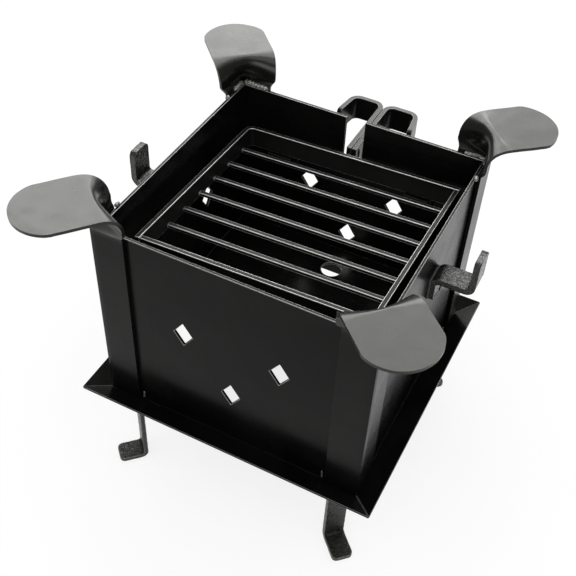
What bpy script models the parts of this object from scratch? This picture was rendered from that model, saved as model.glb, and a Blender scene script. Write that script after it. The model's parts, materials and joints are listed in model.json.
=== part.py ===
"""Coal forge: an open-topped square firebox of steel plate on four legs.

Metres, +Z up.  The forge stands on z = 0, the front wall faces -Y and the wall
with the rim notch is at +Y.  Every dimension below is taken from the middle of
the firebox; FRAME_SHIFT then puts x = 0, y = 0 in the middle of the footprint.
"""
import bpy
import bmesh
from math import cos, sin, tan, pi, radians, sqrt, asin
from mathutils import Matrix, Vector
from mathutils.geometry import tessellate_polygon

MM = 0.001
GAP = 0.3 * MM                     # clearance left between welded pieces

FRAME_SHIFT = (0.7 * MM, -11.4 * MM, 0.0)

# firebox
BOX_W = 250 * MM                   # outside width, X
BOX_D = 247 * MM                   # outside depth, Y
WALL_T = 3 * MM
TRAY_Z = 109 * MM                  # bottom edge of the walls
RIM_Z = TRAY_Z + 202 * MM          # top edge of the walls

# air holes: upright diamonds, two above one
HOLE_HALF_W = 9 * MM
HOLE_HALF_H = 13 * MM
HOLE_SPREAD = 46 * MM
HOLE_UPPER_Z = TRAY_Z + 115 * MM
HOLE_LOWER_Z = TRAY_Z + 61 * MM

# rim notch in the back wall
NOTCH_W = 19 * MM
NOTCH_X = -3 * MM                  # the notch sits a little left of the middle
NOTCH_BOTTOM_Z = TRAY_Z + 146 * MM

# floor plate: it covers the back half, and the front half is open for air and ash
FLOOR_TOP_Z = TRAY_Z + 38 * MM
FLOOR_FRONT_Y = 0.0
FLOOR_T = 3 * MM
DRAUGHT_HOLE_D = 21 * MM
DRAUGHT_HOLE_Y = 87 * MM

# corner posts: angle iron, opened flat above the rim and swept outwards
ANGLE_LEG = 31.75 * MM
ANGLE_T = 3 * MM
POST_FOOT_Z = TRAY_Z + 2.2 * MM
TONGUE_TIP_R = 33 * MM
TONGUES = {                        # each one forged by hand: height above the rim,
    # tip beyond the firebox corner, half width, swing off the diagonal
    "front_left": (31.5 * MM, 65 * MM, 31.7 * MM, radians(5.4)),
    "front_right": (32 * MM, 58 * MM, 31.4 * MM, radians(1.5)),
    "back_left": (30.5 * MM, 59 * MM, 30.0 * MM, radians(-1.8)),
    "back_right": (33 * MM, 58 * MM, 30.3 * MM, radians(-4.3)),
}
RISER_S = -4 * MM                  # middle of the riser, on the diagonal from the corner
OPEN_FOLD = radians(33)            # fold that is left where the bend starts
BEND_H_MIDDLE = 10 * MM            # height of the bend: tight in the middle,
BEND_H_EDGE = 19 * MM              # wide at the edges
FLAT_S_MIDDLE = 1 * MM             # where the flat of the tongue starts
FLAT_S_EDGE = 6 * MM

# sloping lips of the tray
LIP_RUN = 22.8 * MM
LIP_RISE = 10 * MM
LIP_T = 2.5 * MM

# legs: flat bar across the inside corners, foot bent outwards
BAR_T = 5 * MM
LEG_W = 21 * MM
LEG_TOP_Z = FLOOR_TOP_Z - FLOOR_T - GAP
LEGS = {                           # middle of the bar from centre, shift across, foot length
    "front_left": (157 * MM, 0.0, 27 * MM),
    "front_right": (150 * MM, -2 * MM, 30 * MM),
    "back_left": (157 * MM, 0.0, 27 * MM),
    "back_right": (157 * MM, 0.0, 25 * MM),
}
FOOT_BEND_R = 5.5 * MM

# side hooks
HOOK_W = 22 * MM
HOOK_T = 5.5 * MM
HOOK_RUN_Z = TRAY_Z + 163 * MM     # top face of the outward run
HOOK_TOP_Z = TRAY_Z + 194 * MM
HOOK_OUT = 39 * MM                 # outer face from the wall
HOOK_ROOT_DROP = 22 * MM           # part lying down the wall
HOOK_Y = {"left": -7 * MM, "right": 8 * MM}

# rear hooks
REAR_T = 5 * MM
REAR_H = 25 * MM
REAR_TOP_Z = TRAY_Z + 172 * MM
REAR_ROOT_Y = 116.5 * MM
REAR_FAR_Y = 201.5 * MM
REAR_SPAN = 34 * MM
REAR_END = (38 * MM, 170 * MM)
REAR_BEND_R = 9 * MM

# lift-out grate
GRATE_W = 221 * MM
GRATE_D = 200 * MM
GRATE_CENTRE = (0.0, 7.6 * MM)
GRATE_TOP_Z = TRAY_Z + 175 * MM    # top edge at the centre of the grate
GRATE_TILT_X = radians(-2.1)       # it lies a little low at the back left corner
GRATE_TILT_Y = radians(-2.1)
STRIP_T = 4.5 * MM
STRIP_H = 20 * MM
GRATE_BARS = 7
FIRST_BAR_Y = 79 * MM              # from the centre of the grate
BAR_PITCH = 27 * MM
GRATE_BAR_W = 4.5 * MM
GRATE_BAR_H = 3.5 * MM
GRATE_BAR_LIFT = 2 * MM            # underside of the bars above the strip's lower edge

# lugs that carry the grate
LUG_W = 24 * MM
LUG_T = 3 * MM
LUG_X = 72 * MM
LUG_DROP = 22 * MM

CORNERS = {"front_left": (-1, -1), "front_right": (1, -1),
           "back_left": (-1, 1), "back_right": (1, 1)}

BLACK_PAINT = (0.012, 0.012, 0.013, 1.0)
FORGE_SCALE = (0.045, 0.043, 0.041, 1.0)
BARE_STEEL = (0.10, 0.10, 0.10, 1.0)


def clear_scene():
    for obj in list(bpy.data.objects):
        bpy.data.objects.remove(obj, do_unlink=True)


def add_object(name, bm, colour, roughness):
    bmesh.ops.recalc_face_normals(bm, faces=bm.faces)
    mesh = bpy.data.meshes.new(name)
    bm.to_mesh(mesh)
    bm.free()
    obj = bpy.data.objects.new(name, mesh)
    bpy.context.scene.collection.objects.link(obj)
    mat = bpy.data.materials.new(name + "_finish")
    mat.use_nodes = True
    shader = mat.node_tree.nodes["Principled BSDF"]
    shader.inputs["Base Color"].default_value = colour
    shader.inputs["Roughness"].default_value = roughness
    shader.inputs["Metallic"].default_value = 0.0
    mesh.materials.append(mat)
    return obj


def prism(name, outline, holes, low, high, place, colour, roughness):
    """Plate from a 2-D outline with holes, thick from low to high along the third axis."""
    loops = [outline] + holes
    flat = [Vector((a, b, 0.0)) for loop in loops for a, b in loop]
    tris = tessellate_polygon([[Vector((a, b, 0.0)) for a, b in loop] for loop in loops])
    bm = bmesh.new()
    bottom = [bm.verts.new(place(p.x, p.y, low)) for p in flat]
    top = [bm.verts.new(place(p.x, p.y, high)) for p in flat]
    for i, j, k in tris:
        bm.faces.new((bottom[i], bottom[j], bottom[k]))
        bm.faces.new((top[k], top[j], top[i]))
    start = 0
    for loop in loops:
        count = len(loop)
        for n in range(count):
            a = start + n
            b = start + (n + 1) % count
            bm.faces.new((bottom[a], bottom[b], top[b], top[a]))
        start += count
    return add_object(name, bm, colour, roughness)


def loft(name, rings, colour, roughness):
    """Closed body through rings that all hold the same number of points."""
    bm = bmesh.new()
    rows = [[bm.verts.new(p) for p in ring] for ring in rings]
    count = len(rows[0])
    for low, high in zip(rows[:-1], rows[1:]):
        for n in range(count):
            m = (n + 1) % count
            bm.faces.new((low[n], low[m], high[m], high[n]))
    bm.faces.new(rows[0])
    bm.faces.new(list(reversed(rows[-1])))
    return add_object(name, bm, colour, roughness)


def rounded_path(points, radius, steps):
    """Polyline with every inner corner replaced by an arc."""
    path = [Vector(points[0])]
    for before, corner, after in zip(points[:-2], points[1:-1], points[2:]):
        corner = Vector(corner)
        d_in = (corner - Vector(before)).normalized()
        d_out = (Vector(after) - corner).normalized()
        turn = d_in.angle_signed(d_out)
        reach = radius * tan(abs(turn) / 2)
        start = corner - d_in * reach
        side = Vector((-d_in.y, d_in.x))
        if d_in.cross(d_out) < 0:
            side = -side
        centre = start + side * radius
        sweep = abs(turn)
        for n in range(steps + 1):
            a = sweep * n / steps
            path.append(centre - side * radius * cos(a) + d_in * radius * sin(a))
    path.append(Vector(points[-1]))
    return path


def path_tangents(path):
    tangents = []
    for n in range(len(path)):
        before = path[max(n - 1, 0)]
        after = path[min(n + 1, len(path) - 1)]
        tangents.append((after - before).normalized())
    return tangents


def bent_bar(name, points, radius, thick, width, place, round_ends, colour, roughness):
    """Flat bar bent along a path; place(a, b, c) maps path plane and width to space.

    round_ends gives the corner radius of the first and of the last end.
    """
    path = rounded_path(points, radius, 8)
    tangents = path_tangents(path)
    stations = []
    corner_steps = 4
    if round_ends[0] > 0:
        for n in range(corner_steps):
            a = pi / 2 * n / corner_steps
            inset = round_ends[0] * (1 - sin(a))
            shift = round_ends[0] * (1 - cos(a))
            stations.append((path[0] + tangents[0] * shift, tangents[0], width / 2 - inset))
        stations.append((path[0] + tangents[0] * round_ends[0], tangents[0], width / 2))
    else:
        stations.append((path[0], tangents[0], width / 2))
    for point, tangent in zip(path[1:-1], tangents[1:-1]):
        stations.append((point, tangent, width / 2))
    if round_ends[1] > 0:
        stations.append((path[-1] - tangents[-1] * round_ends[1], tangents[-1], width / 2))
        for n in reversed(range(corner_steps)):
            a = pi / 2 * n / corner_steps
            inset = round_ends[1] * (1 - sin(a))
            shift = round_ends[1] * (1 - cos(a))
            stations.append((path[-1] - tangents[-1] * shift, tangents[-1], width / 2 - inset))
    else:
        stations.append((path[-1], tangents[-1], width / 2))
    rings = []
    for point, tangent, half in stations:
        side = Vector((-tangent.y, tangent.x)) * thick / 2
        lower = point - side
        upper = point + side
        rings.append([place(lower.x, lower.y, -half), place(upper.x, upper.y, -half),
                      place(upper.x, upper.y, half), place(lower.x, lower.y, half)])
    return loft(name, rings, colour, roughness)


def diamond(across, up):
    return [(across - HOLE_HALF_W, up), (across, up - HOLE_HALF_H),
            (across + HOLE_HALF_W, up), (across, up + HOLE_HALF_H)]


def air_holes():
    return [diamond(-HOLE_SPREAD, HOLE_UPPER_Z), diamond(HOLE_SPREAD, HOLE_UPPER_Z),
            diamond(0.0, HOLE_LOWER_Z)]


def build_walls():
    half_w = BOX_W / 2
    half_d = BOX_D / 2
    plain = [(-half_w, TRAY_Z), (half_w, TRAY_Z), (half_w, RIM_Z), (-half_w, RIM_Z)]
    prism("front_wall", plain, air_holes(), -half_d, -half_d + WALL_T,
          lambda a, b, c: Vector((a, c, b)), BLACK_PAINT, 0.35)
    low = NOTCH_X - NOTCH_W / 2
    high = NOTCH_X + NOTCH_W / 2
    notched = [(-half_w, TRAY_Z), (half_w, TRAY_Z), (half_w, RIM_Z), (high, RIM_Z),
               (high, NOTCH_BOTTOM_Z), (low, NOTCH_BOTTOM_Z), (low, RIM_Z),
               (-half_w, RIM_Z)]
    prism("back_wall", notched, air_holes(), half_d - WALL_T, half_d,
          lambda a, b, c: Vector((a, c, b)), BLACK_PAINT, 0.35)
    inner = half_d - WALL_T - GAP
    side = [(-inner, TRAY_Z), (inner, TRAY_Z), (inner, RIM_Z), (-inner, RIM_Z)]
    prism("left_wall", side, air_holes(), -half_w, -half_w + WALL_T,
          lambda a, b, c: Vector((c, a, b)), BLACK_PAINT, 0.35)
    prism("right_wall", side, air_holes(), half_w - WALL_T, half_w,
          lambda a, b, c: Vector((c, a, b)), BLACK_PAINT, 0.35)


def build_floor():
    x = BOX_W / 2 - WALL_T - GAP
    y = BOX_D / 2 - WALL_T - GAP
    r = DRAUGHT_HOLE_D / 2
    hole = [(r * cos(2 * pi * n / 32), DRAUGHT_HOLE_Y + r * sin(2 * pi * n / 32))
            for n in range(32)]
    outline = [(-x, FLOOR_FRONT_Y), (x, FLOOR_FRONT_Y), (x, y), (-x, y)]
    prism("floor_plate", outline, [hole],
          FLOOR_TOP_Z - FLOOR_T, FLOOR_TOP_Z,
          lambda a, b, c: Vector((a, b, c)), BLACK_PAINT, 0.45)


def ease_step(t):
    return t * t * (3 - 2 * t)


def swept_bend(steps):
    """(out, up, share), each 0 to 1, along a quarter turn that starts and ends gently."""
    fine = 10
    points = []
    out = 0.0
    up = 0.0
    for n in range(1, steps * fine + 1):
        t = (n - 0.5) / (steps * fine)
        turn = pi / 2 * (0.35 * t + 0.65 * ease_step(t))
        out += sin(turn)
        up += cos(turn)
        if n % fine == 0:
            points.append((out, up, n / (steps * fine)))
    return [(a / out, b / up, share) for a, b, share in points]


def post_rows(rise, reach, half_tip):
    """Outer face of half a post, middle to edge: (across, s, z) rows from foot to tip."""
    shares = (0.0, 0.25, 0.5, 0.75, 1.0)
    corner = (GAP + ANGLE_T) * sqrt(2)
    start = RIM_Z + 0.5 * MM
    top = RIM_Z + rise - ANGLE_T
    heights = [BEND_H_MIDDLE + (BEND_H_EDGE - BEND_H_MIDDLE) * u ** 1.5 for u in shares]
    flats = [FLAT_S_MIDDLE + (FLAT_S_EDGE - FLAT_S_MIDDLE) * u * u for u in shares]
    leg = ANGLE_LEG * sin(pi / 4)
    rows = [[(leg * u, corner - leg * u, z) for u in shares] for z in (POST_FOOT_Z, start)]
    steps = 7
    for n in range(1, steps + 1):
        t = n / steps
        ease = 0.5 * t + 0.5 * ease_step(t)
        fold = pi / 4 + (OPEN_FOLD - pi / 4) * ease
        half = ANGLE_LEG + (half_tip - ANGLE_LEG) * 0.5 * ease
        s = corner + (RISER_S - corner) * ease_step(t)
        rows.append([(half * u * cos(fold), s - half * u * sin(fold),
                      start + (top - high - start) * t) for u, high in zip(shares, heights)])
    opened = rows[-1]
    for out, up, t in swept_bend(10):
        widen = 0.6 * t + 0.4 * ease_step(t)
        rows.append([(across + (half_tip * u - across) * widen, s + (flat - s) * out,
                      top - high * (1 - up))
                     for u, (across, s, _), high, flat in zip(shares, opened, heights, flats)])
    centre = reach - TONGUE_TIP_R
    widest = asin(0.97 * half_tip / TONGUE_TIP_R)
    for n in range(11):
        a = widest * (1 - n / 10) + radians(4) * (n / 10)
        rows.append([(TONGUE_TIP_R * sin(a) * u, centre + TONGUE_TIP_R * cos(a), top)
                     for u in shares])
    return rows


def thickened(grid):
    """Closed cross-sections: each row of the outer face, then its inner face behind it."""
    rings = []
    for n, points in enumerate(grid):
        above = grid[min(n + 1, len(grid) - 1)]
        below = grid[max(n - 1, 0)]
        inner = []
        for k, p in enumerate(points):
            along = above[k] - below[k]
            left = points[k] - points[k - 1] if k else points[1] - points[0]
            right = points[k + 1] - points[k] if k < len(points) - 1 else left
            left_face = left.cross(along).normalized()
            right_face = right.cross(along).normalized()
            middle = (left_face + right_face).normalized()
            inner.append(p - middle * ANGLE_T / middle.dot(left_face))
        rings.append(points + inner[::-1])
    return rings


def build_posts():
    up = Vector((0.0, 0.0, 1.0))
    for label, (sx, sy) in CORNERS.items():
        rise, reach, half_tip, swing = TONGUES[label]
        base = Vector((sx * BOX_W / 2, sy * BOX_D / 2, 0.0))
        grid = []
        for row in post_rows(rise, reach, half_tip):
            mirrored = [(-across, s, z) for across, s, z in row[:0:-1]]
            points = []
            for across, s, z in mirrored + row:
                # the swing builds up through the bend and stays level along the tongue
                share = swing * min(max((z - RIM_Z) / (rise - ANGLE_T), 0.0), 1.0)
                spin = Matrix.Rotation(share, 3, "Z")
                out = spin @ Vector((sx, sy, 0.0)).normalized()
                side = spin @ Vector((-sy, sx, 0.0)).normalized()
                points.append(base + side * across + out * s + up * z)
            grid.append(points)
        loft("corner_post_" + label, thickened(grid), BLACK_PAINT, 0.35)


def build_lips():
    drop = LIP_T / cos(radians(23.7))
    spans = {"front": (BOX_W, BOX_D, 0), "right": (BOX_D, BOX_W, 1),
             "back": (BOX_W, BOX_D, 2), "left": (BOX_D, BOX_W, 3)}
    for label, (length, depth, quarter) in spans.items():
        turn = Matrix.Rotation(quarter * pi / 2, 3, "Z")
        inner = depth / 2 + GAP
        outer = depth / 2 + LIP_RUN
        half_in = length / 2
        half_out = length / 2 + LIP_RUN - GAP
        rings = []
        for sign in (-1, 1):
            rings.append([turn @ Vector((sign * half_in, -inner, TRAY_Z)),
                          turn @ Vector((sign * half_out, -outer, TRAY_Z + LIP_RISE)),
                          turn @ Vector((sign * half_out, -outer, TRAY_Z + LIP_RISE - drop)),
                          turn @ Vector((sign * half_in, -inner, TRAY_Z - drop))])
        loft("tray_lip_" + label, rings, BLACK_PAINT, 0.35)


def build_legs():
    for label, (sx, sy) in CORNERS.items():
        s, shift, foot = LEGS[label]
        out = Vector((sx, sy, 0.0)).normalized()
        across = Vector((-sy, sx, 0.0)).normalized()

        def place(a, b, c, out=out, across=across, shift=shift):
            return out * a + across * (c + shift) + Vector((0.0, 0.0, b))

        points = [(s, LEG_TOP_Z), (s, BAR_T / 2), (s + foot, BAR_T / 2)]
        bent_bar("leg_" + label, points, FOOT_BEND_R, BAR_T, LEG_W, place,
                 (0.0, 5 * MM), FORGE_SCALE, 0.55)


def build_side_hooks():
    for label, sx in (("left", -1), ("right", 1)):
        def place(a, b, c, sx=sx, y=HOOK_Y[label]):
            return Vector((sx * a, y + c, b))

        wall_x = BOX_W / 2 + GAP + HOOK_T / 2
        run_z = HOOK_RUN_Z - HOOK_T / 2
        tip_x = BOX_W / 2 + HOOK_OUT - HOOK_T / 2
        points = [(wall_x, run_z - HOOK_ROOT_DROP), (wall_x, run_z), (tip_x, run_z),
                  (tip_x, HOOK_TOP_Z)]
        bent_bar("side_hook_" + label, points, 6 * MM, HOOK_T, HOOK_W, place,
                 (0.0, 5 * MM), FORGE_SCALE, 0.55)


def build_rear_hooks():
    for label, sx in (("left", -1), ("right", 1)):
        def place(a, b, c, sx=sx):
            return Vector((NOTCH_X + sx * a, b, REAR_TOP_Z - REAR_H / 2 + c))

        x = GAP / 2 + REAR_T / 2
        points = [(x, REAR_ROOT_Y), (x, REAR_FAR_Y), (REAR_SPAN, REAR_FAR_Y), REAR_END]
        bent_bar("rear_hook_" + label, points, REAR_BEND_R, REAR_T, REAR_H, place,
                 (0.0, 4 * MM), BLACK_PAINT, 0.4)


def grate_frame():
    """Centre of the grate's top plane and its lean."""
    centre = Vector((GRATE_CENTRE[0], GRATE_CENTRE[1], GRATE_TOP_Z))
    lean = Matrix.Rotation(GRATE_TILT_Y, 3, "Y") @ Matrix.Rotation(GRATE_TILT_X, 3, "X")
    return centre, lean


def build_grate():
    centre, lean = grate_frame()
    axis = bpy.data.objects.new("grate_lift_axis", None)
    axis.location = centre
    bpy.context.scene.collection.objects.link(axis)
    pieces = []

    def place(a, b, c):
        return lean @ Vector((a, b, c - STRIP_H / 2))

    t = STRIP_T / 2
    x = GRATE_W / 2
    y = GRATE_D / 2
    back_left = [(-x + t, -y), (-x + t, y - t), (x, y - t)]
    pieces.append(bent_bar("grate_frame_back_left", back_left, 7 * MM, STRIP_T, STRIP_H,
                           place, (0.0, 0.0), BARE_STEEL, 0.5))
    front_right = [(x - t, y - STRIP_T - GAP), (x - t, -y + t), (-x + STRIP_T + GAP, -y + t)]
    pieces.append(bent_bar("grate_frame_front_right", front_right, 7 * MM, STRIP_T, STRIP_H,
                           place, (0.0, 0.0), BARE_STEEL, 0.5))
    end = x - STRIP_T - GAP
    half = GRATE_BAR_W / 2
    for n in range(GRATE_BARS):
        mid = FIRST_BAR_Y - n * BAR_PITCH
        low = GRATE_BAR_LIFT - STRIP_H
        high = low + GRATE_BAR_H
        outline = [(mid - half, low), (mid + half, low), (mid + half, high), (mid - half, high)]
        pieces.append(prism("grate_bar_%d" % (n + 1), outline, [], -end, end,
                            lambda a, b, c: lean @ Vector((c, a, b)), BARE_STEEL, 0.5))
    for piece in pieces:
        piece.parent = axis


def build_lugs():
    """Short angles on the front and back walls, each set to the grate's underside."""
    centre, lean = grate_frame()
    wall_y = BOX_D / 2 - WALL_T - GAP
    for label, (sx, sy) in CORNERS.items():
        edge = centre.y + sy * (GRATE_D / 2 - 8 * MM)
        under = [(centre + lean @ Vector((sx * LUG_X + dx, sy * GRATE_D / 2 + dy, -STRIP_H))).z
                 for dx in (-LUG_W / 2, LUG_W / 2) for dy in (-8 * MM, 8 * MM)]
        top = min(under) - GAP

        def place(a, b, c, sx=sx, sy=sy):
            return Vector((sx * LUG_X + c, sy * a, b))

        outline = [(wall_y, top), (abs(edge), top), (abs(edge), top - LUG_T),
                   (wall_y - LUG_T, top - LUG_T), (wall_y - LUG_T, top - LUG_DROP),
                   (wall_y, top - LUG_DROP)]
        prism("grate_lug_" + label, outline, [], -LUG_W / 2, LUG_W / 2, place,
              BLACK_PAINT, 0.5)


def shift_frame():
    shift = Vector(FRAME_SHIFT)
    for obj in bpy.data.objects:
        if obj.type == "EMPTY":
            obj.location += shift
        elif obj.parent is None:
            obj.data.transform(Matrix.Translation(shift))


clear_scene()
build_walls()
build_floor()
build_posts()
build_lips()
build_legs()
build_side_hooks()
build_rear_hooks()
build_grate()
build_lugs()
shift_frame()
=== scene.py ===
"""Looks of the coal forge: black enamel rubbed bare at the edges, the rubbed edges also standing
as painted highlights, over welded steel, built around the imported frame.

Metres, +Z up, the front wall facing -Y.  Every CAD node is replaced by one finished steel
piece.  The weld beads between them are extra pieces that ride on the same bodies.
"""
import json
import random
from math import asin, cos, pi, radians, sin, tanh

import bmesh
import bpy
from mathutils import Matrix, Vector, noise

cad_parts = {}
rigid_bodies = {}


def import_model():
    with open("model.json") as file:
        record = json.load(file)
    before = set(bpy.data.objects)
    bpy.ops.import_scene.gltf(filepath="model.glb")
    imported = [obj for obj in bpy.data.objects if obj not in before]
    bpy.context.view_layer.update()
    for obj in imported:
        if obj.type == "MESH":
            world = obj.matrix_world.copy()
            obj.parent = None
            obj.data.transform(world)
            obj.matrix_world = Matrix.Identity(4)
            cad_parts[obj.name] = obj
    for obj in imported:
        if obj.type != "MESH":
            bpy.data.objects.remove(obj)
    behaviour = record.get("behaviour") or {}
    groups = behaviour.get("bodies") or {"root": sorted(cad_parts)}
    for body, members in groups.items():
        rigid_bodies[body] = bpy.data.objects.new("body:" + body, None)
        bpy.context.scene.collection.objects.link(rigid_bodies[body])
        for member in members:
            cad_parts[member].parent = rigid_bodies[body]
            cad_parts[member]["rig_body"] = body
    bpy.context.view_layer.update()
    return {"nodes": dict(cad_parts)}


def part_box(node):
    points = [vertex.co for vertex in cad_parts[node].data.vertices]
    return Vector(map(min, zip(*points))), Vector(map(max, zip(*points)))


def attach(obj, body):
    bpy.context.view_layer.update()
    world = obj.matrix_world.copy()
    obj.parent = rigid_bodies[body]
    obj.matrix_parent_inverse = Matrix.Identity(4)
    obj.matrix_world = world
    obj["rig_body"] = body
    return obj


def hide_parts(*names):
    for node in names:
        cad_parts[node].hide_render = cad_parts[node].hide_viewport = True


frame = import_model()

MM = 0.001
RIM_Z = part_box("front_wall")[1].z
CORNERS = {"front_left": (-1, -1), "front_right": (1, -1),
           "back_left": (-1, 1), "back_right": (1, 1)}

# camera
CAMERA_PLACE = Vector((0.25794, -0.58164, 0.81837))
CAMERA_AZIMUTH = radians(24.92)    # turned from looking along +Y towards -X
CAMERA_DROP = radians(44.92)       # looking down
CAMERA_ROLL = radians(3.11)
CAMERA_LENS = 58.66
CAMERA_CLIP = 0.05
SENSOR = 36.0

# studio
WHITE = (1.0, 1.0, 1.0, 1.0)
SKY = 0.30                         # even light from the room
FLOOR_SIZE = 8.0
FLOOR_ALBEDO = 0.25
FLOOR_ROUGHNESS = 0.9
FLOOR_GLOW = 0.78                  # the floor is a light table, so shadows stay pale
LIT_POINT = Vector((0.0, 0.0, 0.25))
SOFTBOX_DISTANCE = 2.4
# softboxes: name, azimuth, elevation, width, height, radiance
FILL = ("fill_softbox", 0, 90, 5.0, 5.0, 1.35)
REFLECTED = (
    ("back_left_softbox", -38, 33, 2.0, 1.04, 6.2),
    ("back_right_softbox", 4, 30, 1.5, 1.3, 3.4),
    ("top_softbox", -20, 62.3, 2.6, 1.47, 4.8),
    ("overhead_softbox", 160, 76, 2.0, 1.45, 1.8),
    ("front_softbox", 165, 20, 2.2, 1.2, 2.6),
)

# noise patterns of the materials: waves per metre, detail, roughness
# the first two break up the rubbed edges, whose light grey also serves as painted highlight along
# the arrises
RUB_AND_HIGHLIGHT_GRAIN = (900.0, 2.0, 0.6)
RUB_AND_HIGHLIGHT_PATCH = (60.0, 3.0, 0.6)
DUST = (14.0, 4.0, 0.6)
CLOUD = (38.0, 3.0, 0.6)
ORANGE_PEEL = (420.0, 2.0, 0.5)
PLATE_WAVES = (26.0, 1.0, 0.4)
PITS = (330.0, 4.0, 0.65)
WELD_LUMPS = (700.0, 4.0, 0.65)

# noise values between which each effect goes from none to full
RUB_AND_HIGHLIGHT_RANGE = (0.55, 0.95)
DUST_RANGE = (0.42, 0.74)
CLOUD_RANGE = (0.35, 0.70)
PITS_RANGE = (0.40, 0.62)
CREST_RANGE = (0.42, 0.66)
WELD_ROUGH_RANGE = (0.3, 0.7)

# bumps: strength, depth
PEEL_BUMP = (0.25, 0.00012)
WAVES_BUMP = (0.12, 0.004)
WELD_BUMP = (0.6, 0.0005)
SCALE_STRENGTH = 0.9

PAINT_TINT = (0.99, 1.0, 0.94, 1.0)
DUST_GAIN = 1.8                    # dusty paint is this much lighter than clean paint,
DUST_TONE = 0.001                  # with a little added
WORN_METAL = 0.8                   # how metallic a fully rubbed edge is
SCALE_SHARE = 0.72                 # how much of its own tone the scale shows
POLISH_FROM = RIM_Z - 4 * MM       # a post turns glossier between these heights
POLISH_TO = RIM_Z + 8 * MM
WELD_ROUGH = (0.55, 0.28)          # in the valleys, on the crests

# meshes
JOIN_DISTANCE = 0.01 * MM
FLAT_ANGLE = radians(0.6)          # triangles that turn less than this are one flat face
SHARP_ANGLE = radians(40)


# ---------------------------------------------------------------- camera and studio

def make_camera():
    forward = Vector((-sin(CAMERA_AZIMUTH) * cos(CAMERA_DROP),
                      cos(CAMERA_AZIMUTH) * cos(CAMERA_DROP), -sin(CAMERA_DROP)))
    level = Vector((cos(CAMERA_AZIMUTH), sin(CAMERA_AZIMUTH), 0.0))
    above = level.cross(forward)
    right = level * cos(CAMERA_ROLL) + above * sin(CAMERA_ROLL)
    up = right.cross(forward)
    data = bpy.data.cameras.new("camera")
    data.lens = CAMERA_LENS
    data.sensor_width = SENSOR
    data.clip_start = CAMERA_CLIP
    camera = bpy.data.objects.new("camera", data)
    bpy.context.scene.collection.objects.link(camera)
    turn = Matrix((right, up, -forward)).transposed()
    camera.matrix_world = Matrix.Translation(CAMERA_PLACE) @ turn.to_4x4()
    bpy.context.scene.camera = camera


def softbox(name, azimuth, elevation, width, height, radiance, reflected):
    """Rectangular light facing the forge; azimuth 0 is straight behind it, degrees to +X.

    A reflected softbox shows in glossy surfaces only, any other lights dull surfaces only.
    """
    data = bpy.data.lights.new(name, "AREA")
    data.shape = "RECTANGLE"
    data.size = width
    data.size_y = height
    data.energy = radiance * width * height * pi
    light = bpy.data.objects.new(name, data)
    bpy.context.scene.collection.objects.link(light)
    side = radians(azimuth)
    lift = radians(elevation)
    away = Vector((sin(side) * cos(lift), cos(side) * cos(lift), sin(lift)))
    light.location = LIT_POINT + away * SOFTBOX_DISTANCE
    light.rotation_mode = "QUATERNION"
    light.rotation_quaternion = away.to_track_quat("Z", "Y")
    light.visible_camera = False
    light.visible_diffuse = not reflected
    light.visible_glossy = reflected


def make_floor():
    half = FLOOR_SIZE / 2
    mesh = bpy.data.meshes.new("studio_floor")
    mesh.from_pydata([(-half, -half, 0), (half, -half, 0), (half, half, 0), (-half, half, 0)],
                     [], [(0, 1, 2, 3)])
    floor = bpy.data.objects.new("studio_floor", mesh)
    bpy.context.scene.collection.objects.link(floor)
    mat = bpy.data.materials.new("pale_floor")
    mat.use_nodes = True
    shader = mat.node_tree.nodes["Principled BSDF"]
    shader.inputs["Base Color"].default_value = (FLOOR_ALBEDO,) * 3 + (1.0,)
    shader.inputs["Roughness"].default_value = FLOOR_ROUGHNESS
    shader.inputs["Specular IOR Level"].default_value = 0.0
    shader.inputs["Emission Color"].default_value = WHITE
    shader.inputs["Emission Strength"].default_value = FLOOR_GLOW
    mesh.materials.append(mat)


def make_studio():
    scene = bpy.context.scene
    scene.view_settings.view_transform = "Standard"
    world = bpy.data.worlds.new("studio")
    world.use_nodes = True
    sky = world.node_tree.nodes["Background"]
    sky.inputs["Color"].default_value = WHITE
    sky.inputs["Strength"].default_value = SKY
    scene.world = world
    softbox(*FILL, False)
    for box in REFLECTED:
        softbox(*box, True)
    make_floor()


# ---------------------------------------------------------------- materials

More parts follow.
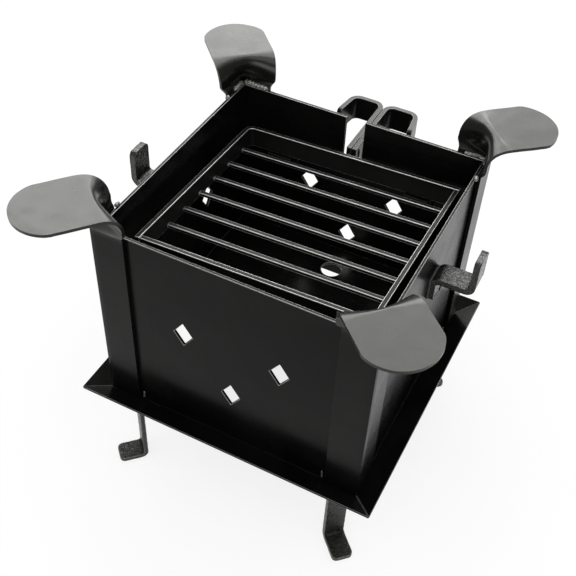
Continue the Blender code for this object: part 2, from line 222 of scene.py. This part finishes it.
class Graph:
    """Small helper that wires a material's nodes."""

    MIX_A = 6                      # sockets of the mix node when it mixes colours
    MIX_B = 7
    MIX_RESULT = 2

    def __init__(self, name):
        self.mat = bpy.data.materials.new(name)
        self.mat.use_nodes = True
        self.tree = self.mat.node_tree
        self.shader = self.tree.nodes["Principled BSDF"]
        self.place = self.add("ShaderNodeTexCoord").outputs["Object"]

    def add(self, kind, **settings):
        node = self.tree.nodes.new(kind)
        for key, value in settings.items():
            setattr(node, key, value)
        return node

    def link(self, source, target):
        self.tree.links.new(source, target)

    def noise(self, pattern, warp=0.0):
        scale, detail, rough = pattern
        tex = self.add("ShaderNodeTexNoise")
        tex.inputs["Scale"].default_value = scale
        tex.inputs["Detail"].default_value = detail
        tex.inputs["Roughness"].default_value = rough
        tex.inputs["Distortion"].default_value = warp
        self.link(self.place, tex.inputs["Vector"])
        return tex.outputs["Fac"]

    def remap(self, value, span, out_low=0.0, out_high=1.0):
        node = self.add("ShaderNodeMapRange", clamp=True)
        node.inputs["From Min"].default_value = span[0]
        node.inputs["From Max"].default_value = span[1]
        node.inputs["To Min"].default_value = out_low
        node.inputs["To Max"].default_value = out_high
        self.link(value, node.inputs["Value"])
        return node.outputs["Result"]

    def math(self, operation, *values):
        node = self.add("ShaderNodeMath", operation=operation)
        for slot, value in zip(node.inputs, values):
            if isinstance(value, (int, float)):
                slot.default_value = value
            else:
                self.link(value, slot)
        return node.outputs["Value"]

    def mix(self, factor, colour_a, colour_b):
        node = self.add("ShaderNodeMix", data_type="RGBA")
        self.link(factor, node.inputs["Factor"])
        for index, colour in ((self.MIX_A, colour_a), (self.MIX_B, colour_b)):
            if isinstance(colour, tuple):
                node.inputs[index].default_value = colour
            else:
                self.link(colour, node.inputs[index])
        return node.outputs[self.MIX_RESULT]

    def bump(self, height, strength, depth, below=None):
        node = self.add("ShaderNodeBump")
        node.inputs["Strength"].default_value = strength
        node.inputs["Distance"].default_value = depth
        self.link(height, node.inputs["Height"])
        if below:
            self.link(below, node.inputs["Normal"])
        return node.outputs["Normal"]

    def edge_wear_and_highlight_mask(self):
        """0 to 1, high where the stored edge mark plus the mean of two noises is high: rubbed
        edges, also used as painted highlight along the arrises.
        """
        stored = self.add("ShaderNodeAttribute", attribute_name="edge_wear")
        grain = self.math("MULTIPLY", self.noise(RUB_AND_HIGHLIGHT_GRAIN), 0.5)
        both = self.math("MULTIPLY_ADD", self.noise(RUB_AND_HIGHLIGHT_PATCH), 0.5, grain)
        total = self.math("ADD", stored.outputs["Fac"], self.math("SUBTRACT", both, 0.5))
        return self.remap(total, RUB_AND_HIGHLIGHT_RANGE)


def grey(value, warm):
    """Opaque grey; warm is the share added to red and taken from blue."""
    return (value * (1 + warm), value, value * (1 - warm), 1.0)


def paint_material(name, specular, base=0.003, rough=(0.22, 0.34), wear=0.55, bare=0.30,
                   scale=None, polished=None):
    """Brushed black enamel: soft orange peel, dusty patches, edges rubbed to grey steel that is
    light enough to also be a painted highlight along the arrises.

    base and bare are the tones of paint and of rubbed steel, the steel light enough to also act
    as a painted highlight along the arrises; wear is how far an edge is rubbed and lit.  scale is
    (depth, tone) of the pits in a forged bar.  polished is the specular level above the rim.
    """
    g = Graph(name)
    dust = g.remap(g.noise(DUST, warp=0.6), DUST_RANGE)
    cloud = g.remap(g.noise(CLOUD), CLOUD_RANGE)
    coat = g.mix(dust, grey(base, 0.02), grey(base * DUST_GAIN + DUST_TONE, 0.04))
    rubbed_and_highlit = g.math("MULTIPLY", g.edge_wear_and_highlight_mask(), wear)
    # rubbed edges take the light steel tone, which is also a painted highlight along the arrises
    colour = g.mix(rubbed_and_highlit, coat, grey(bare, 0.02))
    uneven = g.math("ADD", g.math("MULTIPLY", dust, 0.6), g.math("MULTIPLY", cloud, 0.4))
    g.link(g.remap(uneven, (0.0, 1.0), *rough), g.shader.inputs["Roughness"])
    g.link(g.math("MULTIPLY", rubbed_and_highlit, WORN_METAL), g.shader.inputs["Metallic"])
    g.shader.inputs["Specular Tint"].default_value = PAINT_TINT
    g.shader.inputs["Specular IOR Level"].default_value = specular
    if polished:
        height = g.add("ShaderNodeSeparateXYZ")
        g.link(g.place, height.inputs["Vector"])
        gloss = g.remap(height.outputs["Z"], (POLISH_FROM, POLISH_TO), specular, polished)
        g.link(gloss, g.shader.inputs["Specular IOR Level"])
    normal = g.bump(g.noise(ORANGE_PEEL), *PEEL_BUMP)
    normal = g.bump(g.noise(PLATE_WAVES), *WAVES_BUMP, normal)
    if scale:
        depth, tone = scale
        pits = g.remap(g.noise(PITS, warp=0.8), PITS_RANGE)
        normal = g.bump(pits, SCALE_STRENGTH, depth, normal)
        colour = g.mix(g.math("MULTIPLY", pits, SCALE_SHARE), colour, grey(tone, 0.03))
    g.link(colour, g.shader.inputs["Base Color"])
    g.link(normal, g.shader.inputs["Normal"])
    return g.mat


def weld_material(name, valley, crest, metal=0.6, specular=0.5):
    """Knobbly weld metal, with one tone in its valleys and another on its crests."""
    g = Graph(name)
    lumps = g.noise(WELD_LUMPS, warp=0.5)
    height = g.remap(lumps, CREST_RANGE)
    g.link(g.mix(height, grey(valley, 0.04), grey(crest, 0.03)), g.shader.inputs["Base Color"])
    g.link(g.remap(lumps, WELD_ROUGH_RANGE, *WELD_ROUGH), g.shader.inputs["Roughness"])
    g.link(g.math("MULTIPLY", height, metal), g.shader.inputs["Metallic"])
    g.shader.inputs["Specular IOR Level"].default_value = specular
    g.link(g.bump(lumps, *WELD_BUMP), g.shader.inputs["Normal"])
    return g.mat


# ---------------------------------------------------------------- mesh helpers

def finish_piece(name, bm, body, replaced, mat, sharp_angle=SHARP_ANGLE):
    """Turns the mesh into a shaded object on its body, in place of a CAD node if one is named."""
    mesh = bpy.data.meshes.new(name)
    bm.to_mesh(mesh)
    bm.free()
    mesh.shade_smooth()
    mesh.set_sharp_from_angle(angle=sharp_angle)
    mesh.materials.append(mat)
    obj = bpy.data.objects.new(name, mesh)
    bpy.context.scene.collection.objects.link(obj)
    even = obj.modifiers.new("even_shading", "WEIGHTED_NORMAL")
    even.keep_sharp = True
    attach(obj, body)
    if replaced:
        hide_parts(replaced)


def node_bmesh(node):
    """The CAD node's solid with its triangles joined back into flat faces."""
    bm = bmesh.new()
    bm.from_mesh(frame["nodes"][node].data)
    bmesh.ops.remove_doubles(bm, verts=bm.verts, dist=JOIN_DISTANCE)
    bmesh.ops.dissolve_limit(bm, angle_limit=FLAT_ANGLE, verts=bm.verts, edges=bm.edges)
    return bm


def round_edges(bm, width, angle=radians(28), segments=2):
    """Rounds every sharp edge and stores an edge mark, 1 on the faces of the outer ones; the mark
    gives rubbed steel that also serves as painted highlight along the arrises.
    """
    layer = bm.faces.layers.float.new("edge_wear")
    for outer in (True, False):
        bm.normal_update()
        edges = []
        for e in bm.edges:
            if len(e.link_faces) == 2:
                fold = e.calc_face_angle_signed(0.0)
                if abs(fold) > angle and (fold > 0) == outer:
                    edges.append(e)
        if not edges:
            continue
        made = bmesh.ops.bevel(bm, geom=edges, offset=width, offset_type="OFFSET",
                               segments=segments, profile=0.5, affect="EDGES",
                               clamp_overlap=True)
        if outer:
            for f in made["faces"]:
                f[layer] = 1.0


def refine(bm, longest, passes=6):
    """Halves edges until none is longer than the given length, in at most so many passes."""
    bmesh.ops.triangulate(bm, faces=bm.faces)
    for _ in range(passes):
        long_edges = [e for e in bm.edges if e.calc_length() > longest]
        if not long_edges:
            break
        bmesh.ops.subdivide_edges(bm, edges=long_edges, cuts=1, use_grid_fill=False)
        bmesh.ops.triangulate(bm, faces=[f for f in bm.faces if len(f.verts) > 3])


def steel_piece(node, body, mat, edge):
    """The node's solid with rolled edges."""
    bm = node_bmesh(node)
    round_edges(bm, edge)
    finish_piece(node + "_steel", bm, body, node, mat)


# ---------------------------------------------------------------- corner posts

# Lengths called s run out along the diagonal from the box's corner, lengths a across it.
POST_LEG = 31.75 * MM
POST_T = 3.0 * MM
POST_EDGE = 0.45 * MM
WALL_GAP = 0.3 * MM
RISER_S = -4 * MM                  # middle of the riser
OPEN_FOLD = radians(33)            # fold that is left where the bend starts
OPEN_FROM = 0.5 * MM               # height above the rim where the angle starts to open
BEND_H_MIDDLE = 10 * MM            # height of the bend, tight in the middle
BEND_H_EDGE = 19 * MM              # and wide at the edges
FLAT_S_MIDDLE = 1.0 * MM           # where the flat of the tongue starts
FLAT_S_EDGE = 6 * MM
TIP_R = 33 * MM
TIP_WIDEST = 0.97                  # the round tip starts at this share of the half width
TIP_END = radians(3)               # and stops this far off the middle, at a short flat
TONGUES = {                        # rise above the rim, reach, half width, swing
    "front_left": (31.5 * MM, 65 * MM, 31.7 * MM, radians(5.4)),
    "front_right": (32 * MM, 58 * MM, 31.4 * MM, radians(1.5)),
    "back_left": (30.5 * MM, 59 * MM, 30.0 * MM, radians(-1.8)),
    "back_right": (33 * MM, 58 * MM, 30.3 * MM, radians(-4.3)),
}
FOLD_SPREAD = 0.035                # about the share of the half width that the fold takes
OPEN_SPREAD = 0.45                 # added to it once the angle is opened
ACROSS = 12                        # steps from the middle of a post to its edge
SHAFT_STEPS = 12                   # steps up the angle iron
OPEN_STEPS = 16                    # steps in which it opens
BEND_STEPS = 22                    # steps round the bend
FLAT_STEPS = 9                     # steps along the flat of the tongue
TIP_STEPS = 18                     # steps round its tip
DENTS = ((55, 0.35), (140, 0.12))  # waves per metre and depth in mm of the hammer marks
BEATEN_RISE = 10 * MM              # they fade in over this height from the rim
BEATEN_SINK = 0.3 * MM             # lowers the tongue, to keep dents below the CAD's top


def blend_step(t):
    t = min(max(t, 0.0), 1.0)
    return t * t * (3 - 2 * t)


def eased(t, even):
    """t with gentle ends; even is the share of it that stays as it is."""
    return even * t + (1 - even) * blend_step(t)


def swept_bend(steps):
    """(out, up, share), each 0 to 1, along a quarter turn that starts and ends gently."""
    fine = 20
    points = []
    out = 0.0
    up = 0.0
    for n in range(1, steps * fine + 1):
        turn = pi / 2 * eased((n - 0.5) / (steps * fine), 0.35)
        out += sin(turn)
        up += cos(turn)
        if n % fine == 0:
            points.append((out, up, n / (steps * fine)))
    return [(a / out, b / up, t) for a, b, t in points]


def fold_profile(half, fold, spread):
    """Half of the folded cross-section, from the middle outwards: (across, back) points."""
    fine = 6
    points = [(0.0, 0.0)]
    across = 0.0
    back = 0.0
    for n in range(ACROSS * fine):
        slope = fold * tanh((n + 0.5) / fine / ACROSS / spread) / tanh(1 / spread)
        across += cos(slope) * half / ACROSS / fine
        back += sin(slope) * half / ACROSS / fine
        if (n + 1) % fine == 0:
            points.append((across, back))
    return points


def post_rows(foot_z, rise, reach, half_tip):
    """Rows of (a, s, z) over half of the outer face, from the foot up and out to the tip."""
    corner = (WALL_GAP + POST_T) * 2 ** 0.5
    top = RIM_Z + rise - POST_T
    start = RIM_Z + OPEN_FROM
    shares = [n / ACROSS for n in range(ACROSS + 1)]
    heights = [BEND_H_MIDDLE + (BEND_H_EDGE - BEND_H_MIDDLE) * u ** 1.5 for u in shares]
    flats = [FLAT_S_MIDDLE + (FLAT_S_EDGE - FLAT_S_MIDDLE) * u * u for u in shares]
    rows = []
    shaft = fold_profile(POST_LEG, pi / 4, FOLD_SPREAD)
    for n in range(SHAFT_STEPS + 1):
        z = foot_z + (start - foot_z) * n / SHAFT_STEPS
        rows.append([(a, corner - b, z) for a, b in shaft])
    for n in range(1, OPEN_STEPS + 1):
        t = n / OPEN_STEPS
        ease = eased(t, 0.5)
        s = corner + (RISER_S - corner) * blend_step(t)
        opened = fold_profile(POST_LEG + (half_tip - POST_LEG) * 0.5 * ease,
                              pi / 4 + (OPEN_FOLD - pi / 4) * ease,
                              FOLD_SPREAD + OPEN_SPREAD * ease)
        rows.append([(a, s - b, start + (top - high - start) * t)
                     for (a, b), high in zip(opened, heights)])
    for out, up, t in swept_bend(BEND_STEPS):
        widen = eased(t, 0.6)
        row = []
        for u, (a, b), high, flat in zip(shares, opened, heights, flats):
            first = RISER_S - b
            row.append((a + (half_tip * u - a) * widen, first + (flat - first) * out,
                        top - high * (1 - up)))
        rows.append(row)
    centre = reach - TIP_R
    widest = asin(TIP_WIDEST * half_tip / TIP_R)
    round_start = centre + TIP_R * cos(widest)
    for n in range(1, FLAT_STEPS):
        rows.append([(half_tip * u, flat + (round_start - flat) * n / FLAT_STEPS, top)
                     for u, flat in zip(shares, flats)])
    for n in range(TIP_STEPS + 1):
        turn = widest * (1 - n / TIP_STEPS) + TIP_END * (n / TIP_STEPS)
        rows.append([(TIP_R * sin(turn) * u, centre + TIP_R * cos(turn), top) for u in shares])
    return rows


def post_grid(label):
    """The whole outer face as rows of points in place, with the tongue swung to its side."""
    sx, sy = CORNERS[label]
    rise, reach, half_tip, swing = TONGUES[label]
    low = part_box("front_wall")[0]
    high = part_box("back_wall")[1]
    base = Vector((low.x if sx < 0 else high.x, low.y if sy < 0 else high.y, 0.0))
    foot_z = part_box("corner_post_" + label)[0].z
    grid = []
    for row in post_rows(foot_z, rise, reach, half_tip):
        points = []
        for side, order in ((-1, reversed(row[1:])), (1, row)):
            for a, s, z in order:
                share = swing * min(max((z - RIM_Z) / (rise - POST_T), 0.0), 1.0)
                spin = Matrix.Rotation(share, 3, "Z")
                out = spin @ Vector((sx, sy, 0.0)).normalized()
                across = spin @ Vector((-sy, sx, 0.0)).normalized()
                points.append(base + across * (side * a) + out * s + Vector((0.0, 0.0, z)))
        grid.append(points)
    return grid


def build_post(label, mat):
    """Angle-iron post whose top is opened flat and swept outwards as a tongue."""
    node = "corner_post_" + label
    grid = post_grid(label)
    last = len(grid) - 1
    edge = len(grid[0]) - 1
    bm = bmesh.new()
    rings = []
    for n, points in enumerate(grid):
        outer = []
        inner = []
        for k, p in enumerate(points):
            along = grid[min(n + 1, last)][k] - grid[max(n - 1, 0)][k]
            over = points[min(k + 1, edge)] - points[max(k - 1, 0)]
            normal = over.cross(along).normalized()
            beaten = blend_step((p.z - RIM_Z) / BEATEN_RISE)
            dent = sum(noise.noise(p * scale) * depth for scale, depth in DENTS)
            p = p + normal * (dent * MM * beaten) - Vector((0.0, 0.0, BEATEN_SINK * beaten))
            outer.append(p)
            inner.append(p - normal * POST_T)
        rings.append([bm.verts.new(p) for p in outer + list(reversed(inner))])
    join_rings(bm, rings)
    bmesh.ops.recalc_face_normals(bm, faces=bm.faces)
    round_edges(bm, POST_EDGE, radians(50))
    finish_piece(node + "_steel", bm, "forge", node, mat)


def join_rings(bm, rings):
    """Faces between each ring of vertices and the next, and one across either end."""
    count = len(rings[0])
    for low, high in zip(rings[:-1], rings[1:]):
        for n in range(count):
            m = (n + 1) % count
            bm.faces.new((low[n], low[m], high[m], high[n]))
    bm.faces.new(list(reversed(rings[0])))
    bm.faces.new(rings[-1])


# ---------------------------------------------------------------- hooks and feet

SCALE_CELL = 2.2 * MM              # size of the smaller lumps of scale
COARSE = 0.35                      # the larger lumps are SCALE_CELL / COARSE in size
SKIN_STEP = 1.6 * MM               # longest edge of the mesh that carries them
TIP_BAND = 3 * MM                  # a hook's top corners lie within this of its top


def round_tip(bm, radius):
    """Rounds the two top corners of an upturned hook, whose edges run along X."""
    top = max(v.co.z for v in bm.verts)
    corners = []
    for e in bm.edges:
        run = e.verts[1].co - e.verts[0].co
        if min(v.co.z for v in e.verts) > top - TIP_BAND and abs(run.x) > 0.8 * run.length:
            corners.append(e)
    bmesh.ops.bevel(bm, geom=corners, offset=radius, offset_type="OFFSET", segments=5,
                    profile=0.5, affect="EDGES")


def forged_piece(node, body, mat, edge, depth, tip_radius=0.0):
    """The node's bar with soft rolled edges and a skin of beaten scale."""
    bm = node_bmesh(node)
    if tip_radius:
        round_tip(bm, tip_radius)
    round_edges(bm, edge, radians(40), 3)
    refine(bm, SKIN_STEP)
    bm.normal_update()
    shifts = []
    for v in bm.verts:
        coarse = noise.noise(v.co * (COARSE / SCALE_CELL))
        fine = noise.noise(v.co / SCALE_CELL)
        shifts.append((v, v.normal * depth * (0.6 * coarse + 0.4 * fine - 0.5)))
    for v, shift in shifts:
        v.co += shift
    finish_piece(node + "_steel", bm, body, node, mat, radians(60))


# ---------------------------------------------------------------- welds

BEAD_SIDES = 12
BEAD_STEP = 0.35 * MM              # between two rings of a bead
BEAD_FLAT = 0.8                    # how full a bead is against its stated radius
RIPPLE = 0.9                       # length of a ripple and of a rounded end, in radii
RIPPLE_DEPTH = 0.14
LEAST_END = 0.08                   # square of the smallest share of the radius, at an end
WANDER = 0.35                      # how far a bead strays from its line, in radii
WANDER_SCALE = 160                 # noise of the straying, and of its third direction
WANDER_SCALE_THIRD = 130
LUMP_DEPTH = 0.22
LUMP_SCALE = 420
NOISE_OFFSET = 9                   # each bead takes its own place in the noise, up to this far

RIM_SEED = 40
TRAY_SEED = 60
SIDE_HOOK_SEED = 70
REAR_HOOK_SEED = 75
GRATE_SEED = 80
LUG_SEED = 90

RIM_WELDS = {                      # bead along the X wall, along the Y wall, radius
    "front_left": (6 * MM, 11 * MM, 2.6 * MM),
    "front_right": (7 * MM, 12 * MM, 2.4 * MM),
    "back_left": (27 * MM, 18 * MM, 3.7 * MM),
    "back_right": (22 * MM, 9 * MM, 2.5 * MM),
}
RIM_LIFT = 0.7 * MM                # middle of a rim bead above the rim
RIM_INSET = 1.0 * MM               # a rim bead starts this far from the corner
RIM_PROUD = 0.3 * MM               # and this far outside the wall
KNOT_BACK = 3 * MM                 # a knot starts this far inside the end of a post's leg
KNOT_LENGTH = 6 * MM
KNOT_R = 2.6 * MM
POST_FOOT_LENGTH = 9 * MM          # bead up each edge of a post's foot
POST_FOOT_LIFT = 3 * MM
POST_FOOT_PROUD = 1.2 * MM         # its middle outside the wall
POST_FOOT_LEAN = 0.5 * MM          # its top is this much further from the corner
POST_FOOT_R = 1.1 * MM

SEAM_R = 0.95 * MM                 # seam along the foot of each wall
TACK_LENGTH = 14 * MM              # and two thicker tacks on it
TACK_R = 1.7 * MM

HOOK_BEAD_R = 1.5 * MM
HOOK_SEAM_R = 0.8 * MM
GRATE_BEAD_R = 1.7 * MM            # at least, and at most this much more
GRATE_BEAD_R_MORE = 0.6 * MM
GRATE_BEAD_HALF = 2.6 * MM         # half the length of a bead across a bar's end
GRATE_BEAD_IN = 0.6 * MM           # its distance from the very end
BAR_ALLOWANCE = 3.6 * MM           # about a bar's height: what its box has beyond its rise
LUG_BEAD_R = 1.1 * MM


def add_bead(bm, rng, start, end, radius):
    """One weld bead: a rippled, uneven rope of metal along a straight run."""
    start = Vector(start)
    run = Vector(end) - start
    length = run.length
    along = run.normalized()
    side = along.orthogonal().normalized()
    other = along.cross(side)
    pitch = radius * RIPPLE
    count = max(6, int(length / BEAD_STEP))
    phase = rng.random() * pitch
    offset = Vector((rng.random(), rng.random(), rng.random())) * NOISE_OFFSET
    rings = []
    for n in range(count + 1):
        x = n / count * length
        cap = min(1.0, min(x, length - x) / pitch)
        swell = max(LEAST_END, 1 - (1 - cap) ** 2) ** 0.5
        ripple = 1 - RIPPLE_DEPTH + RIPPLE_DEPTH * abs(sin(pi * (x + phase) / pitch))
        p = start + along * x
        wander = Vector((noise.noise(p * WANDER_SCALE + offset),
                         noise.noise(p * WANDER_SCALE - offset),
                         noise.noise(p * WANDER_SCALE_THIRD + offset * 2))) * radius * WANDER
        ring = []
        for k in range(BEAD_SIDES):
            a = 2 * pi * k / BEAD_SIDES
            out = side * cos(a) + other * sin(a)
            lump = 1 + LUMP_DEPTH * noise.noise((p + out * radius) * LUMP_SCALE + offset)
            thick = out * radius * swell * ripple * lump * BEAD_FLAT
            ring.append(bm.verts.new(p + wander + thick))
        rings.append(ring)
    join_rings(bm, rings)


def weld_piece(name, runs, body, mat, seed):
    bm = bmesh.new()
    rng = random.Random(seed)
    for start, end, radius in runs:
        add_bead(bm, rng, start, end, radius)
    bmesh.ops.recalc_face_normals(bm, faces=bm.faces)
    finish_piece(name, bm, body, None, mat, radians(80))


def box_corners():
    """Lowest and highest (x, y) of the firebox, outside."""
    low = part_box("left_wall")[0].x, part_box("front_wall")[0].y
    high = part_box("right_wall")[1].x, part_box("back_wall")[1].y
    return low, high


def build_rim_welds(mat):
    """Beads at each corner of the rim, a knot beside the post, and beads at the post's foot."""
    low, high = box_corners()
    z = RIM_Z + RIM_LIFT
    knot = POST_LEG - KNOT_BACK
    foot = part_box("front_wall")[0].z + POST_FOOT_LIFT
    foot_top = foot + POST_FOOT_LENGTH
    for index, (label, (sx, sy)) in enumerate(CORNERS.items()):
        x = low[0] if sx < 0 else high[0]
        y = low[1] if sy < 0 else high[1]
        along_x, along_y, thick = RIM_WELDS[label]
        off_x = x + sx * POST_FOOT_PROUD
        off_y = y + sy * POST_FOOT_PROUD
        runs = [
            ((x - sx * RIM_INSET, y + sy * RIM_PROUD, z), (x - sx * along_x, y, z), thick),
            ((x + sx * RIM_PROUD, y - sy * RIM_INSET, z), (x, y - sy * along_y, z),
             thick * 0.9),
            ((x + sx * 0.5 * MM, y - sy * knot, z), (x, y - sy * (knot + KNOT_LENGTH), z),
             KNOT_R),
            ((x - sx * POST_LEG, off_y, foot),
             (x - sx * (POST_LEG + POST_FOOT_LEAN), off_y, foot_top), POST_FOOT_R),
            ((off_x, y - sy * POST_LEG, foot),
             (off_x, y - sy * (POST_LEG + POST_FOOT_LEAN), foot_top), POST_FOOT_R),
        ]
        weld_piece("weld_rim_" + label, runs, "forge", mat, RIM_SEED + index)


def build_tray_seams(mat):
    """Thin painted seam where each lip meets its wall, with two thicker tacks."""
    low, high = box_corners()
    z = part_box("front_wall")[0].z + 0.5 * MM
    inset = POST_LEG + 4 * MM
    corners = [(low[0], low[1]), (high[0], low[1]), (high[0], high[1]), (low[0], high[1])]
    for n, label in enumerate(("front", "right", "back", "left")):
        a = Vector((*corners[n], z))
        b = Vector((*corners[(n + 1) % 4], z))
        along = (b - a).normalized()
        out = Vector((along.y, -along.x, 0.0)) * 0.3 * MM
        runs = [(a + out, b + out, SEAM_R)]
        for start in (inset, (b - a).length - inset - TACK_LENGTH):
            p = a + along * start + out * 4 + Vector((0, 0, 0.6 * MM))
            runs.append((p, p + along * TACK_LENGTH, TACK_R))
        weld_piece("weld_tray_" + label, runs, "forge", mat, TRAY_SEED + n)


def build_side_hook_welds(mat):
    """Beads all round the root of each side hook."""
    for index, (label, sx) in enumerate((("left", -1), ("right", 1))):
        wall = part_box(label + "_wall")[0 if sx < 0 else 1].x + sx * 0.4 * MM
        hook = frame["nodes"]["side_hook_" + label].data
        root = [v.co for v in hook.vertices if abs(v.co.x - wall) < 1 * MM]
        y_low, y_high = min(v.y for v in root), max(v.y for v in root)
        z_low, z_high = min(v.z for v in root), max(v.z for v in root)
        runs = [((wall, y, z_low - 1 * MM), (wall, y, z_high + 1 * MM), HOOK_BEAD_R)
                for y in (y_low - 0.2 * MM, y_high + 0.2 * MM)]
        runs += [((wall, y_low - 1 * MM, z), (wall, y_high + 1 * MM, z), HOOK_BEAD_R)
                 for z in (z_low, z_high)]
        weld_piece("weld_side_hook_" + label, runs, "forge", mat, SIDE_HOOK_SEED + index)


def build_rear_hook_welds(mat):
    """Beads down the wall on either side of the pair, and a seam on top between the two."""
    low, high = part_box("rear_hook_left")
    middle = (low.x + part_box("rear_hook_right")[1].x) / 2
    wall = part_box("back_wall")[1].y + 0.6 * MM
    runs = [((x, wall, low.z + 1 * MM), (x, wall, high.z - 3 * MM), HOOK_BEAD_R)
            for x in (middle - 5.3 * MM, middle + 5.3 * MM)]
    top = high.z - 0.4 * MM
    runs.append(((middle, wall + 12 * MM, top), (middle, wall + 34 * MM, top), HOOK_SEAM_R))
    weld_piece("weld_rear_hooks", runs, "forge", mat, REAR_HOOK_SEED)


def build_grate_welds(mat):
    """A lump where each bar meets the frame strips, at the height of that end of the bar."""
    for n in range(1, 8):
        low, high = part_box("grate_bar_%d" % n)
        middle_y = (low.y + high.y) / 2
        slope = (high.z - low.z - BAR_ALLOWANCE) / 2
        runs = []
        for side, end in ((-1, low.x), (1, high.x)):
            x = end - side * GRATE_BEAD_IN
            z = (low.z + high.z) / 2 + side * slope
            size = GRATE_BEAD_R + GRATE_BEAD_R_MORE * random.Random(n * 7 + side).random()
            runs.append(((x, middle_y - GRATE_BEAD_HALF, z), (x, middle_y + GRATE_BEAD_HALF, z),
                         size))
        weld_piece("weld_grate_bar_%d" % n, runs, "grate", mat, GRATE_SEED + n)


def build_lug_welds(mat):
    """A bead down either side of each lug, where it meets the wall."""
    for index, (label, (_, sy)) in enumerate(CORNERS.items()):
        low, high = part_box("grate_lug_" + label)
        y = (low.y + 0.3 * MM) if sy < 0 else (high.y - 0.3 * MM)
        runs = [((x, y, low.z + 2 * MM), (x, y, high.z - 1 * MM), LUG_BEAD_R)
                for x in (low.x - 0.2 * MM, high.x + 0.2 * MM)]
        weld_piece("weld_lug_" + label, runs, "forge", mat, LUG_SEED + index)


# ---------------------------------------------------------------- the forge

make_camera()
make_studio()

# the edge amounts and steel tones below are set high on walls, posts and grate, so the rubbed
# edges also act as painted highlights along the arrises
wall_paint = paint_material("wall_paint", specular=0.08, wear=0.8)
post_paint = paint_material("post_paint", specular=0.10, wear=0.8, polished=0.36)
hook_paint = paint_material("hook_paint", specular=0.55, rough=(0.14, 0.26),
                            scale=(0.25 * MM, 0.03))
foot_paint = paint_material("foot_paint", specular=0.28, rough=(0.22, 0.38),
                            scale=(0.5 * MM, 0.035))
lip_paint = paint_material("lip_paint", specular=0.08, wear=0.45)
lug_paint = paint_material("lug_paint", specular=0.08, base=0.002, wear=0.08)
rear_hook_paint = paint_material("rear_hook_paint", specular=0.18, base=0.005, wear=0.7,
                                 bare=0.15)
grate_paint = paint_material("grate_paint", specular=0.10, base=0.005, rough=(0.38, 0.55),
                             wear=1.0, bare=0.42)
weld_metal = weld_material("weld_metal", valley=0.05, crest=0.50)
painted_weld = weld_material("painted_weld", valley=0.006, crest=0.06)
seam_paint = weld_material("seam_paint", valley=0.002, crest=0.004, metal=0.0, specular=0.06)

for node, body in sorted((n, o["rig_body"]) for n, o in frame["nodes"].items()):
    if body == "grate":
        steel_piece(node, body, grate_paint, edge=0.6 * MM)
    elif "side_hook" in node:
        forged_piece(node, body, hook_paint, edge=1.9 * MM, depth=0.22 * MM, tip_radius=4 * MM)
    elif "leg_" in node:
        forged_piece(node, body, foot_paint, edge=0.9 * MM, depth=0.25 * MM)
    elif "post" in node:
        build_post(node.replace("corner_post_", ""), post_paint)
    elif "rear_hook" in node:
        steel_piece(node, body, rear_hook_paint, edge=0.7 * MM)
    elif "tray_lip" in node:
        steel_piece(node, body, lip_paint, edge=0.4 * MM)
    elif "grate_lug" in node:
        steel_piece(node, body, lug_paint, edge=0.4 * MM)
    else:
        steel_piece(node, body, wall_paint, edge=0.55 * MM)

build_rim_welds(weld_metal)
build_tray_seams(seam_paint)
build_side_hook_welds(painted_weld)
build_rear_hook_welds(painted_weld)
build_grate_welds(weld_metal)
build_lug_welds(painted_weld)
